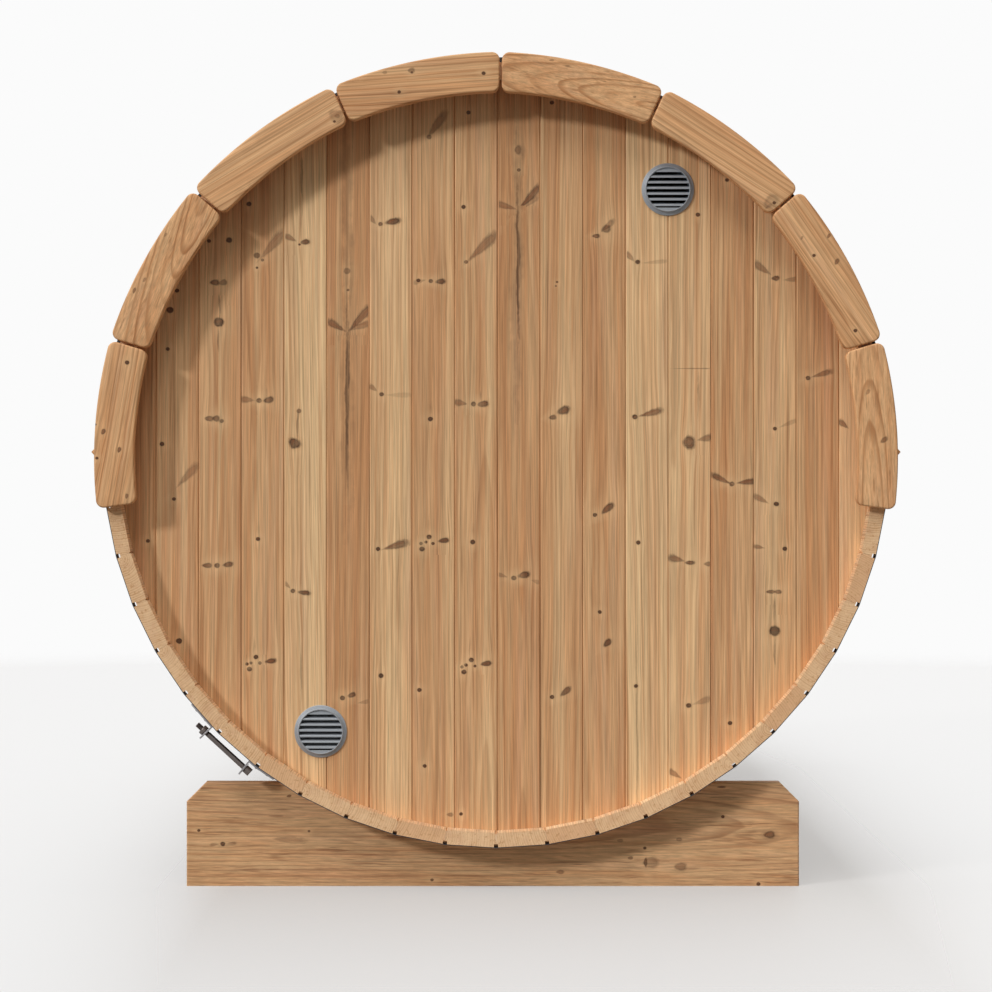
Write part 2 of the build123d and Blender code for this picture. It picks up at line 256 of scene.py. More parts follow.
def wood(maker, place, seed, tones, spacing, wobble, lines, slots=0, start=0.1, fine=1):
    """A sawn softwood. place: along the grain, and across and into the wood from the pith, in metres.

    seed: another board for each number. tones: the light wood, the darker wood and the late wood.
    spacing: the width of a year's growth. wobble: how far the rings stray. lines: how dark the late
    wood is. slots: how many marks each face may know of. start: where in each year's growth the late
    wood begins, 0 to 1. fine: how strong the fine grain is."""
    along, across, deep = place
    lengthwise = along + seed * 7.3
    rough = 0
    if slots:
        rough = maker.figure((across, deep, lengthwise), (170, 170, 70), detail=3, roughness=0.6)
    marks = [mark_in_wood(maker, slot, lengthwise, rough) for slot in range(1, slots + 1)]
    grain = (across - sum(push for *_, push in marks), deep, lengthwise)
    broad = maker.figure(grain, (24, 24, 0.7), detail=1)
    bands = maker.figure(grain, (75, 75, 1.3))
    streaks = maker.figure(grain, (260, 260, 4), roughness=0.65)
    fibres = maker.figure(grain, (1200, 1200, 24), roughness=0.6)
    flush = maker.figure(grain, (34, 34, 1.6), shift=5, detail=1)
    veins = maker.figure(grain, (120, 120, 0.9), shift=3, roughness=0.7)
    rings = growth_rings(maker, grain, spacing, wobble, start)
    light, middle, line = tones
    colour = maker.mix((broad * 2.4 + bands * 3.6 + 0.5).clamp(), light, middle)
    colour = maker.mix((flush * 2.2).clamp() * 0.5, colour, rosy_wood)
    colour = maker.mix((rings * lines * (0.85 + broad * 1.6 + streaks * 1.2)).clamp(), colour, line)
    colour = maker.mix((veins * 9 - 0.7).clamp() * 0.6, colour, line)
    for cover, stain, glow, tone, _ in marks:
        colour = maker.mix(glow * 0.22, colour, pale_wood)
        colour = maker.mix(stain * 0.45, colour, brown_wood)
        colour = maker.mix(cover, colour, maker.mix(tone, knot_rim, knot_brown))
    colour = maker.shade(colour, 1.01 + (fibres * 0.3 + streaks * 1.15 + bands * 0.35) * fine)
    roughness = 0.6 + fibres * 0.2 - rings * 0.06
    normal = maker.bump(fibres * 0.5 + rings * 0.4 + streaks * 0.5, 0.0005)
    return maker.finish(colour, roughness, normal, gloss=0.3)


def board_wood(name, light=pale_wood, dark=brown_wood, line=late_wood, **settings):
    """The wood of pieces whose boards were laid by lay_grain. settings: as wood has them."""
    maker = Maker(name)
    seed, brown, banding = maker.attribute("board")
    side = maker.mix(brown.clamp(), light, dark)
    middle = maker.mix((brown + banding * 0.5).clamp(), light, dark)
    tones = (maker.mix(0.25, side, pale_wood), maker.mix(0.3, middle, brown_wood), line)
    return wood(maker, maker.attribute("grain"), seed, tones, **settings)


def only(*pieces):
    """Select these pieces alone, and make the first the active one."""
    for other in bpy.context.selected_objects:
        other.select_set(False)
    for piece in pieces:
        piece.select_set(True)
    bpy.context.view_layer.objects.active = pieces[0]


def edit(piece, action, chosen=None, parts="vertices"):
    """Run action in edit mode, on everything or on just the vertices, edges or polygons that chosen picks."""
    only(piece)
    kinds = ("vertices", "edges", "polygons")
    bpy.context.tool_settings.mesh_select_mode = [kind == parts for kind in kinds]
    bpy.ops.object.mode_set(mode="EDIT")
    bpy.ops.mesh.select_all(action="SELECT" if chosen is None else "DESELECT")
    if chosen is not None:
        bpy.ops.object.mode_set(mode="OBJECT")
        group = getattr(piece.data, parts)
        group.foreach_set("select", [chosen(part) for part in group])
        bpy.ops.object.mode_set(mode="EDIT")
    action()
    bpy.ops.object.mode_set(mode="OBJECT")


def copy_of(node, name):
    """A piece with a CAD node's shape, its triangles merged to whole faces."""
    piece = bpy.data.objects.new(name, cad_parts[node].data.copy())
    piece.data.materials.clear()
    bpy.context.scene.collection.objects.link(piece)

    def clean():
        bpy.ops.mesh.remove_doubles(threshold=1e-5)
        bpy.ops.mesh.dissolve_limited(angle_limit=math.radians(0.5))

    edit(piece, clean)
    bpy.ops.mesh.customdata_custom_splitnormals_clear()
    return piece


def start(add, name, **settings):
    """A simple shape to work on. add: the operator that makes it."""
    bpy.ops.object.select_all(action="DESELECT")
    add(**settings)
    piece = bpy.context.object
    piece.name = name
    return piece


def modify(piece, kind, **settings):
    """Add a modifier and apply it."""
    only(piece)
    modifier = piece.modifiers.new(kind, kind)
    for name, value in settings.items():
        setattr(modifier, name, value)
    bpy.ops.object.modifier_apply(modifier=modifier.name)


def smooth(piece, angle=35):
    only(piece)
    bpy.ops.object.shade_smooth_by_angle(angle=math.radians(angle))


def soften(piece, width, segments=2, angle=40):
    """Round a piece's edges by a little."""
    limit = {"limit_method": "ANGLE", "angle_limit": math.radians(angle)}
    modify(piece, "BEVEL", width=width, segments=segments, **limit)
    smooth(piece)


def join(name, pieces):
    only(*pieces)
    bpy.ops.object.join()
    pieces[0].name = name
    return pieces[0]


def put(piece, location=None, turn=(0, 0, 0)):
    """Move a piece from the origin to location, or leave it where it stands, and apply that to its mesh."""
    only(piece)
    if location is not None:
        piece.location = location
        piece.rotation_euler = turn
    bpy.ops.object.transform_apply(location=True, rotation=True, scale=True)
    return piece


def twin(piece, name):
    """A copy of a piece, with its own mesh."""
    other = piece.copy()
    other.data = piece.data.copy()
    other.name = name
    bpy.context.scene.collection.objects.link(other)
    return other


def settle(piece, material, slot, *nodes):
    """Finish a piece: its material, the body it rides on and the nodes it stands for. slot: not used."""
    piece.data.materials.clear()
    piece.data.materials.append(material)
    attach(piece, "root")
    if nodes:
        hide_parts(*nodes)


def turned(name, outline, sides=32):
    """A piece turned about Z. outline: radius and height of each step, closed where it ends where it began."""
    radius, height = outline[0]
    circle = {"vertices": sides, "radius": radius, "location": (0, 0, height)}
    piece = start(bpy.ops.mesh.primitive_circle_add, name, **circle)
    is_open = outline[0] != outline[-1]

    def draw_out():
        for (radius, height), (next_radius, next_height) in zip(outline, outline[1:]):
            rise = (0, 0, next_height - height)
            bpy.ops.mesh.extrude_edges_move(TRANSFORM_OT_translate={"value": rise})
            grow = next_radius / radius
            bpy.ops.transform.resize(value=(grow, grow, 1), center_override=(0, 0, next_height))
        if is_open:
            bpy.ops.mesh.edge_face_add()

    def clean():
        bpy.ops.mesh.remove_doubles(threshold=1e-6)
        bpy.ops.mesh.normals_make_consistent(inside=False)

    edit(piece, draw_out)
    if is_open:
        edit(piece, bpy.ops.mesh.edge_face_add, lambda vertex: abs(vertex.co.z) < 1e-7)
    edit(piece, clean)
    put(piece)
    smooth(piece)
    return piece


# A mark in the wood: its middle, half its length and width, its turn in degrees, how it widens along its
# length, its strength and its softness. A softness below 0.4 makes a knot, the paler the softer. 0.5 makes
# a crack, which sways, and 0.8 a stain. Marks read off the photograph are in its pixels, with z down.
Mark = namedtuple("Mark", "x z length width turn taper strength softness")


def dot(x, z, size=3.4, strength=0.95):
    """A small knot cut square across."""
    return Mark(x, z, size, size * 0.9, turn=0, taper=0, strength=strength, softness=0.12)


def oval(x, z, length, width, turn=0, strength=0.9):
    """A knot cut aslant; turn is anticlockwise."""
    return Mark(x, z, length, width, turn, taper=0.25, strength=strength, softness=0.2)


def wing(tip_x, tip_z, end_x, end_z, width, strength=0.6):
    """A knot cut along its length: a point at its tip, widening to its far end."""
    middle = ((tip_x + end_x) / 2, (tip_z + end_z) / 2)
    length = math.hypot(end_x - tip_x, end_z - tip_z) / 2
    turn = math.degrees(math.atan2(tip_z - end_z, end_x - tip_x))
    return Mark(*middle, length, width * 0.7, turn, taper=0.6, strength=strength * 0.92, softness=0.27)


def streak(x, first_z, last_z, width, strength=0.5, softness=0.8):
    """A stain that runs up the board."""
    half = (last_z - first_z) / 2
    return Mark(x, (first_z + last_z) / 2, half, width, 90, 0.1, strength, softness)


def crack(x, first_z, last_z, width, strength=0.7):
    """A thin dark line that runs up the board."""
    return streak(x, first_z, last_z, width, strength, softness=0.5)


def in_metres(mark, y):
    """A mark read off the photograph, on a face of the rear end at y."""
    pixel = pixel_size(y)
    return mark._replace(
        x=(mark.x - photo_width / 2) * pixel,
        z=camera_height - (mark.z - photo_width / 2) * pixel,
        length=mark.length * pixel,
        width=mark.width * pixel,
    )


def random_marks(seed, low, high, count):
    """Marks of several kinds between two corners of an end, X and Z, in metres."""
    draw = random.Random(seed)
    marks = []
    for _ in range(count):
        x, z = draw.uniform(low[0], high[0]), draw.uniform(low[1], high[1])
        size = draw.uniform(0.0045, 0.009)
        kind = draw.choice(("dot", "dot", "oval", "wing", "streak"))
        if kind == "dot":
            marks.append(dot(x, z, size))
        elif kind == "oval":
            marks.append(oval(x, z, size * 1.8, size, draw.uniform(-30, 30)))
            marks.append(streak(x, z + size, z + size * 9, size * 0.5, 0.35))
        elif kind == "wing":
            side = draw.choice((-1, 1))
            marks.append(Mark(x, z, size * 0.8, size * 0.7, 0, 0, strength=0.95, softness=0.12))
            wing_at = (x + side * size * 4, z + size)
            marks.append(Mark(*wing_at, size * 3, size * 0.8, 90 - side * 80, 0.6, 0.7, softness=0.24))
        else:
            marks.append(streak(x, z - size * 8, z + size * 8, size * 0.5, 0.35))
    return marks


def mark_place(mark, x, z):
    """A point measured from a mark, along it and across it, in its half length and half width."""
    turn = math.radians(mark.turn)
    right, up = x - mark.x, z - mark.z
    along = right * math.cos(turn) + up * math.sin(turn)
    aside = up * math.cos(turn) - right * math.sin(turn)
    return along / mark.length, aside / mark.width


def cut_to_cells(piece, cell):
    """Cut the piece's outer faces, upright and level, to cells of about this width."""
    outward = -1 if piece.data.vertices[0].co.y < 0 else 1
    for axis, normal in ((0, to_right), (2, upward)):
        reaches = [vertex.co[axis] for vertex in piece.data.vertices]
        low, high = min(reaches), max(reaches)
        count = round((high - low) / cell)
        for step in range(1, count):
            plane = {"plane_co": normal * (low + (high - low) * step / count), "plane_no": normal}
            edit(
                piece,
                lambda: bpy.ops.mesh.bisect(**plane),
                lambda face: face.normal.y * outward > 0.9,
                "polygons",
            )


def lay_marks(piece, marks, cell, grain=(0, 1), same_board=lambda x, other: True):
    """Cut the piece's outer faces to small cells and give each cell the marks nearest to it.

    grain: which way the grain runs, as X and Z. same_board: whether two X lie on one board."""
    cut_to_cells(piece, cell)
    mesh = piece.data
    farthest = 0.3
    out_of_sight = 9
    corner_values = (len(mesh.loops), 3)
    tables = {}
    for slot in range(1, mark_slots + 1):
        tables[f"mark_{slot}"] = np.full(corner_values, out_of_sight, np.float32)
        tables[f"mark_{slot}_from"] = np.ones(corner_values, np.float32)
        tables[f"mark_{slot}_kind"] = np.zeros(corner_values, np.float32)
    for face in mesh.polygons:
        x, _, z = face.center
        near = []
        for number, mark in enumerate(marks):
            if max(abs(mark.x - x), abs(mark.z - z)) > farthest or not same_board(mark.x, x):
                continue
            u, v = mark_place(mark, x, z)
            reach = math.hypot(u, v / max(0.12, 1 + mark.taper * u))
            near.append(((reach - 1) * min(mark.length, mark.width), number, mark))
        near.sort()
        for slot, (_, number, mark) in enumerate(near[:mark_slots], 1):
            is_thin = mark.length > 8 * mark.width
            size = mark.width if is_thin else min(mark.length * 0.6 + mark.width * 0.4, 0.012)
            for corner in face.loop_indices:
                point = mesh.vertices[mesh.loops[corner].vertex_index].co
                right, up = point.x - mark.x, point.z - mark.z
                aside = right * grain[1] - up * grain[0]
                above = right * grain[0] + up * grain[1]
                tables[f"mark_{slot}"][corner] = (*mark_place(mark, point.x, point.z), mark.taper)
                tables[f"mark_{slot}_from"][corner] = (aside, above, size)
                tables[f"mark_{slot}_kind"][corner] = (mark.strength, mark.softness, number * 0.37 % 1)
    for name, table in tables.items():
        mesh.attributes.new(name, "FLOAT_VECTOR", "CORNER").data.foreach_set("vector", table.ravel())


# How a board's wood lies: its middle, the way its grain runs, its outer side, how far aside and how deep
# its pith lay, how the pith leaned and dived along the board, and its tone
board_values = "middle along outward aside depth lean dive seed brown banding"
Board = namedtuple("Board", board_values, defaults=(0, 0, 0.5, 0.5, 0.5))


def lay_grain(piece, board_at):
    """Write where every corner lies in its board's wood.

    board_at: the piece's one board, or a function that gives the board at a face's middle."""
    mesh = piece.data
    grain = np.zeros((len(mesh.loops), 3), np.float32)
    tone = np.zeros((len(mesh.polygons), 3), np.float32)
    for face in mesh.polygons:
        board = board_at(face.center) if callable(board_at) else board_at
        sideways = board.along.cross(board.outward)
        tone[face.index] = (board.seed, board.brown, board.banding)
        for corner in face.loop_indices:
            out = mesh.vertices[mesh.loops[corner].vertex_index].co - board.middle
            along = out.dot(board.along)
            across = out.dot(sideways) - board.aside - board.lean * along
            grain[corner] = (along, across, board.depth + board.dive * along - out.dot(board.outward))
    mesh.attributes.new("grain", "FLOAT_VECTOR", "CORNER").data.foreach_set("vector", grain.ravel())
    mesh.attributes.new("board", "FLOAT_VECTOR", "FACE").data.foreach_set("vector", tone.ravel())


def out_of_end(y):
    return to_front if y > 0 else -to_front


def upright_boards(shift, pitch, outer_y, boards, seed):
    """Upright boards side by side, for lay_grain. boards: brown, banding and pith aside of each, from -X."""
    draw = random.Random(seed)
    middle_count = len(boards) / 2
    made = []
    for index, (brown, banding, aside) in enumerate(boards):
        middle = Vector((shift + (index - middle_count + 0.5) * pitch, outer_y, axis_height))
        lean, dive = draw.uniform(-0.012, 0.012), draw.uniform(-0.012, 0.012)
        pith = (aside, draw.uniform(0.02, 0.06), lean, dive)
        made.append(Board(middle, upward, out_of_end(outer_y), *pith, draw.random(), brown, banding))

    def board_at(centre):
        index = math.floor((centre.x - shift) / pitch + middle_count)
        return made[min(max(index, 0), len(made) - 1)]

    return board_at


def random_boards(seed, count):
    draw = random.Random(seed)
    ranges = ((0, 0.8), (0.4, 0.9), (-0.06, 0.1))
    return [[draw.uniform(*limits) for limits in ranges] for _ in range(count)]


def same_upright_board(shift, pitch):
    return lambda x, other: math.floor((x - shift) / pitch) == math.floor((other - shift) / pitch)


# Marks on the rear wall, board by board from the left
rear_wall_marks = [
    dot(170, 310), dot(177, 290.6, 2.2), dot(167.7, 349, 2), dot(162, 444, 2.4),
    wing(178, 486, 198, 464, 5, 0.5), dot(174, 499, 2), dot(179, 641, 3), dot(148, 541, 2),
    dot(229, 240, 3), dot(209, 241, 2), oval(214.6, 282.5, 4.5, 2.8), oval(223, 282.5, 4, 2.8, 15, 0.7),
    dot(219, 322, 5), crack(219, 296, 317, 1.1), crack(218.5, 328, 350, 0.9),
    oval(209, 418.6, 4, 2.6, 0, 0.8), oval(216, 418.6, 3.6, 3, 0), dot(221.7, 421, 2.2),
    oval(207, 565.5, 5, 2.4, 0, 0.75), dot(217, 565.5, 2.8), oval(228, 564.6, 5, 2.6, 10, 0.75),
    dot(249, 204, 2.5), wing(260, 259, 286, 230, 6, 0.55), dot(262.5, 260, 1.6),
    dot(257, 267.7, 1.2), dot(257, 255.5, 3.2, 0.6), wing(254, 400.5, 240, 399, 4, 0.6),
    dot(259, 400.5, 2.7), oval(268.5, 400, 5, 3, 12), streak(267, 388, 398, 0.8, 0.4),
    dot(258, 539, 2.2), streak(258, 524, 537, 1, 0.25), dot(256, 657, 2.4), dot(251, 663, 1.6),
    dot(247, 664, 1.8), dot(260, 663, 1.8, 0.8), dot(249.4, 669, 2.6), oval(271, 661, 5.5, 2.5, 8),
    streak(254, 640, 655, 1, 0.3), wing(296, 241, 284, 235, 3.5, 0.6), oval(305, 242, 4.5, 2.6, 8),
    dot(299.6, 244.5, 1.2), crack(302, 158, 196, 1.3, 0.6), streak(301, 196, 236, 1, 0.4),
    oval(294.4, 443.5, 5, 6, 60), crack(298, 410, 438, 1.1, 0.6), dot(299, 411, 2.4, 0.6),
    wing(290, 588, 284, 582, 2.4, 0.5), dot(293, 591, 2.4), oval(304, 592.7, 6, 2.4, -6, 0.8),
    streak(301, 652, 697, 1, 0.4), streak(347, 110, 325, 4.5, 0.35), crack(347.5, 322, 440, 1.9, 0.8),
    crack(347.3, 415, 475, 1.2, 0.6), streak(347.5, 330, 520, 4.5, 0.3),
    wing(345, 331, 326, 320, 4.5, 0.75), wing(349, 331, 372, 305, 5, 0.8),
    wing(349, 330, 373, 322, 4, 0.6), dot(347, 271, 3.4, 0.5), dot(348, 290, 1.4, 0.7),
    dot(342.4, 698, 2.6), oval(351.8, 695, 4, 2.4, 20, 0.8), wing(358, 703, 371, 701, 2.4, 0.4),
    wing(376, 224, 369, 216, 3, 0.6), dot(380.5, 224, 2.2), oval(393, 221.5, 7.5, 3.2, 12, 0.8),
    dot(381.6, 394.3, 2.2), wing(377, 391, 369, 385, 3, 0.55), wing(386, 395, 412, 395, 3, 0.2),
    dot(378, 549, 2.2), wing(384, 549, 408, 542, 4.6, 0.8), dot(381, 675.7, 2.6),
    wing(428, 137, 446, 112, 5.5, 0.6), dot(429, 137, 2.6, 0.6), dot(418.4, 280.4, 2),
    dot(431, 281, 2.2), wing(425, 280, 413, 283, 2.8, 0.5), oval(440.5, 281.5, 5, 2.6, 6),
    dot(430.4, 419, 2.5), streak(430.5, 403, 417, 1.2, 0.3), dot(429, 537, 2.5), dot(426, 542, 1.6),
    dot(421, 543.5, 1.8), dot(433, 543.5, 1.6, 0.8), dot(422, 549, 2.6), oval(443.6, 540.5, 5.5, 2.5, 8),
    streak(429, 518, 534, 1, 0.25), dot(419.4, 690, 2.2), dot(424.7, 766, 2), dot(468.5, 112.5, 2.2),
    dot(463.6, 207, 2.2), wing(468, 261, 498, 232, 6, 0.6), dot(466, 262, 2, 0.6),
    wing(467, 404, 454, 402, 4, 0.6), dot(473.5, 404, 2.6), oval(483, 404, 5.5, 3, 10),
    streak(480, 391, 401, 0.8, 0.4), dot(472.7, 542, 2.6), streak(473, 525, 540, 1.2, 0.25),
    dot(471.4, 660, 2.5), dot(466, 665, 1.8), dot(462, 667, 1.8), dot(475, 666, 1.6), dot(464, 672, 2.6),
    oval(486.4, 663.5, 5.5, 2.5, 8), streak(470, 640, 657, 1, 0.25), dot(461, 814, 1.8),
    oval(450, 814.6, 3, 2, 0, 0.5), streak(518, 130, 206, 3.6, 0.4), crack(518, 204, 335, 1.5, 0.8),
    streak(518, 209, 400, 4, 0.3), wing(516, 209, 495, 203, 4, 0.6), wing(519, 209, 542, 184, 4.6, 0.85),
    wing(520, 209, 540, 196, 3, 0.5), oval(518, 150, 3.4, 4.4, 0, 0.6), dot(518.8, 170, 1.8, 0.8),
    wing(507, 577, 497, 574, 2.6, 0.5), dot(513.7, 578, 2.6), oval(524, 575, 6, 3.2, 14),
    wing(531, 580, 541, 583, 2.6, 0.4), dot(552, 102.6, 2.2), dot(557, 282, 1.2, 0.7),
    dot(556, 286, 1, 0.6), oval(563.6, 410.5, 6.5, 4, 20, 0.8), oval(552.6, 417.4, 3.6, 2.4, 10, 0.8),
    oval(565.7, 691.5, 6.5, 2.8, 40, 0.7), dot(552, 697, 2.2, 0.8), wing(602, 231, 614, 220, 3.4, 0.7),
    oval(606, 229, 4.5, 3.6, 20), oval(596, 236, 3.6, 2, 0, 0.8), oval(607.8, 508.3, 7.5, 3.2, 40, 0.75),
    dot(595, 515, 2.2), dot(599.8, 612, 2, 0.8), oval(607.4, 643, 5, 3, 45, 0.8),
    wing(634, 261, 625, 252, 3.6, 0.6), dot(637.7, 262, 2.4), wing(643, 263, 668, 261, 2.4, 0.25),
    dot(635, 416.8, 2.6), wing(640, 416, 662, 410, 4, 0.75), dot(638.3, 542.6, 2.2),
    streak(637, 652, 830, 0.8, 0.4), dot(636, 686, 2), dot(698, 214.6, 2.2),
    wing(672, 368.5, 711, 368.5, 0.8, 0.5), streak(698.4, 378, 412, 1.2, 0.5),
    oval(688.8, 442.5, 6, 6.6, 0, 0.8), oval(688.8, 442.5, 3.4, 4, 0, 0.3), wing(698, 440, 712, 437, 4, 0.7),
    wing(684, 561, 668, 557, 4.4, 0.7), oval(690, 562.7, 4.6, 2, 0, 0.8), oval(708, 564, 4, 2.2, 0, 0.6),
    dot(688.6, 705.5, 2.6), wing(694, 704, 712, 698, 4, 0.4), wing(681, 778, 668, 770, 3.4, 0.6),
    dot(727, 180, 2), wing(731, 484, 711, 474, 3.6, 0.85), dot(732, 484, 2.6),
    wing(737, 483, 756, 481, 3.6, 0.85), dot(730, 723, 2.2), wing(770, 274, 753, 262, 4.4, 0.6),
    oval(775.5, 278.3, 4, 2.4, 0), wing(784, 280, 799, 279, 3, 0.5), dot(775, 428.6, 2),
    wing(780, 427, 797, 420, 2.6, 0.3), wing(768, 503, 753, 495, 3.6, 0.55), dot(776.4, 504, 2.6),
    wing(764, 548, 753, 546, 2.6, 0.6), dot(784.8, 548.7, 2.4), oval(770.5, 591.8, 4, 1.8, 0, 0.9),
    oval(778, 591.8, 3.6, 2, 0), dot(774.7, 631, 5.5), crack(774.5, 598, 625, 1.1, 0.6),
    crack(774.7, 638, 664, 1.1, 0.5), dot(808, 378, 2.4), wing(812, 377, 832, 371, 3.4, 0.7),
    wing(848, 428, 838, 420, 3.6, 0.7),
]

# Each rear board's wood, from the left: how brown it is, how strong its bands are, how far aside its pith lay
rear_boards = [
    (0.75, 0.6, 0.10), (0.55, 0.7, 0.06), (0.55, 0.6, 0.03), (0.6, 0.7, -0.02), (-0.1, 0.4, 0.09),
    (0.85, 0.9, 0.0), (0.15, 0.6, 0.08), (0.5, 0.6, -0.03), (0.4, 0.8, 0.02), (0.8, 0.9, 0.0),
    (0.45, 0.7, 0.05), (0.75, 0.9, -0.05), (0.0, 0.4, 0.09), (0.25, 0.6, -0.04), (0.7, 0.8, 0.06),
    (0.4, 0.5, 0.02), (0.75, 0.8, 0.07), (0.2, 0.5, 0.03),
]

# End walls
wall_wood = board_wood("wall_boards", spacing=0.011, wobble=0.03, lines=0.46, slots=mark_slots, start=0.25)
rear_wall = copy_of("rear_wall", "rear_wall_boards")
marks = [in_metres(mark, -wall_face) for mark in rear_wall_marks]
lay_marks(rear_wall, marks, 0.025, same_board=same_upright_board(rear_joint_shift, board_pitch))
lay_grain(rear_wall, upright_boards(rear_joint_shift, board_pitch, -wall_face, rear_boards, seed=5))
settle(rear_wall, wall_wood, "wall_boards", "rear_wall")

front_knots = random_marks(21, (-0.9, 0.25), (0.9, 1.95), 90)
front_boards = upright_boards(0, board_pitch, wall_face, random_boards(8, board_count), seed=9)
for part in ("left", "right", "over_door"):
    wall = copy_of(f"front_wall_{part}", f"front_wall_boards_{part}")
    lay_marks(wall, front_knots, 0.05, same_board=same_upright_board(0, board_pitch))
    lay_grain(wall, front_boards)
    settle(wall, wall_wood, "wall_boards", f"front_wall_{part}")


# Curved trim planks: the CAD outline with its outer edges rounded, and the grain along each plank
trim_joint_angles = (-8.1, 16.5, 41.1, 65.2, 89.3, 113.9, 138.8, 163.3, 187.9)
trim_angles = [(low + high) / 2 for low, high in zip(trim_joint_angles, trim_joint_angles[1:])]
trim_middle_radius = 0.955
trim_edge = 0.0045
# Pith aside and deep, its lean and dive, brown and banding, from the lowest plank on the right
trim_grains = [
    (-0.020, 0.040, 0.05, 0.09, 0.45, 0.5), (0.085, 0.030, -0.10, 0.02, 0.60, 0.6),
    (-0.110, 0.050, -0.06, 0.00, 0.35, 0.5), (-0.024, 0.034, 0.00, 0.17, 0.40, 0.4),
    (0.120, 0.030, 0.14, 0.00, 0.50, 0.5), (-0.120, 0.060, 0.10, 0.00, 0.30, 0.5),
    (-0.040, 0.045, -0.14, 0.13, 0.45, 0.4), (0.050, 0.020, 0.10, 0.03, 0.55, 0.6),
]
trim_marks = [
    [dot(855, 425, 1.6), oval(884, 440, 4, 2.4, 40, 0.6), oval(868, 392, 3, 1.6, 60, 0.4)],
    [dot(814, 255.4, 1.8), oval(836.8, 261.7, 3.4, 2, 60, 0.6), oval(828.9, 235.8, 2.6, 1.4, 60, 0.6),
     dot(855.4, 330.5, 2), oval(801.8, 238, 2, 1, 60, 0.4)],
    [oval(771, 202, 8.5, 6, 40, 0.4), dot(774.3, 202.8, 1.8, 0.85), oval(769, 206, 4, 1.4, 35, 0.35)],
    [oval(551.6, 60.2, 2.6, 1, 0, 0.45), oval(567.4, 66, 2.4, 1, 0, 0.35),
     oval(634.6, 96.8, 1.6, 1, 0, 0.5)],
    [dot(483.6, 73.2, 2), dot(399.2, 92, 1.8), oval(411.3, 70.5, 3.4, 2.6, 0, 0.55),
     dot(411.8, 72.4, 1.3, 0.7), oval(384.6, 72.5, 2.4, 1.6, 0, 0.35)],
    [oval(336, 116, 7.5, 6, -35, 0.36), oval(337, 116, 2.6, 2, 0, 0.4), dot(334.5, 121.5, 1.4, 0.8)],
    [oval(165.6, 234.8, 2.2, 1.2, 60, 0.4), oval(144.5, 279.8, 2.6, 1.4, 60, 0.5),
     oval(134.2, 290.6, 3, 1.4, 70, 0.6)],
    [dot(127, 362.5, 2.2), oval(103.3, 431.6, 3, 2.2, 60, 0.7), oval(119.2, 449.8, 2.8, 1.8, 70, 0.7),
     dot(96.9, 458.1, 1.6), oval(126.7, 496.1, 2.6, 1.6, 80, 0.6), dot(95.5, 424.5, 1)],
]
trim_wood = board_wood(
    "trim_planks", light=tint(204, 160, 117), dark=tint(184, 138, 96), line=tint(150, 103, 65),
    spacing=0.0125, wobble=0.034, lines=0.95, slots=mark_slots, start=0.5,
)


def trim_board(angle, outer_y, grain, seed):
    """The wood of the plank at an angle, in degrees. The front end's planks mirror the rear end's."""
    turn = math.radians(angle)
    out = Vector((math.cos(turn), 0, math.sin(turn)))
    tangent = Vector((-out.z, 0, out.x))
    middle = out * trim_middle_radius + Vector((0, outer_y, axis_height))
    aside, depth, lean, dive, brown, banding = grain
    if outer_y > 0:
        aside = -aside
    pith = (aside, depth, lean, dive)
    return Board(middle, tangent, out_of_end(outer_y), *pith, seed, brown, banding)


def round_outer_edges(piece, outer_y):
    """Round the edges of a trim's outer face."""
    def is_outer(edge):
        return all(abs(piece.data.vertices[end].co.y - outer_y) < 1e-5 for end in edge.vertices)

    edit(piece, lambda: bpy.ops.mesh.bevel(offset=trim_edge, segments=4, profile=0.5), is_outer, "edges")
    smooth(piece, 40)


for plank, angle in enumerate(trim_angles):
    trim = copy_of(f"rear_trim_{plank + 1}", f"rear_trim_plank_{plank + 1}")
    round_outer_edges(trim, -end_face)
    board = trim_board(angle, -end_face, trim_grains[plank], plank * 0.617 % 1)
    marks = [in_metres(mark, -end_face) for mark in trim_marks[plank]]
    lay_marks(trim, marks, 0.03, grain=(board.along.x, board.along.z))
    lay_grain(trim, board)
    settle(trim, trim_wood, "trim_wood", f"rear_trim_{plank + 1}")

front_trims = copy_of("front_trims", "front_trim_planks")
round_outer_edges(front_trims, end_face)
draw = random.Random(14)
grain_ranges = ((-0.1, 0.1), (0.02, 0.06), (-0.1, 0.1), (-0.15, 0.15), (0.2, 0.7), (0.4, 0.7))
front_planks = []
for angle in trim_angles:
    grain = [draw.uniform(*limits) for limits in grain_ranges]
    front_planks.append(trim_board(angle, end_face, grain, draw.random()))


def front_plank_at(centre):
    angle = math.degrees(math.atan2(centre.z - axis_height, centre.x))
    if angle < -90:
        angle += 360
    nearest = min(range(len(trim_angles)), key=lambda plank: abs(trim_angles[plank] - angle))
    return front_planks[nearest]


front_trim_knots = []
for plank in front_planks:
    for _ in range(2):
        spot = plank.middle + plank.along * draw.uniform(-0.17, 0.17)
        spot += plank.along.cross(plank.outward) * draw.uniform(-0.03, 0.03)
        size = draw.uniform(0.003, 0.006)
        turn = draw.uniform(0, 180)
        front_trim_knots.append(Mark(spot.x, spot.z, size * 1.4, size, turn, 0.2, 0.8, softness=0.15))
lay_marks(front_trims, front_trim_knots, 0.05)
lay_grain(front_trims, front_plank_at)
settle(front_trims, trim_wood, "trim_wood", "front_trims")


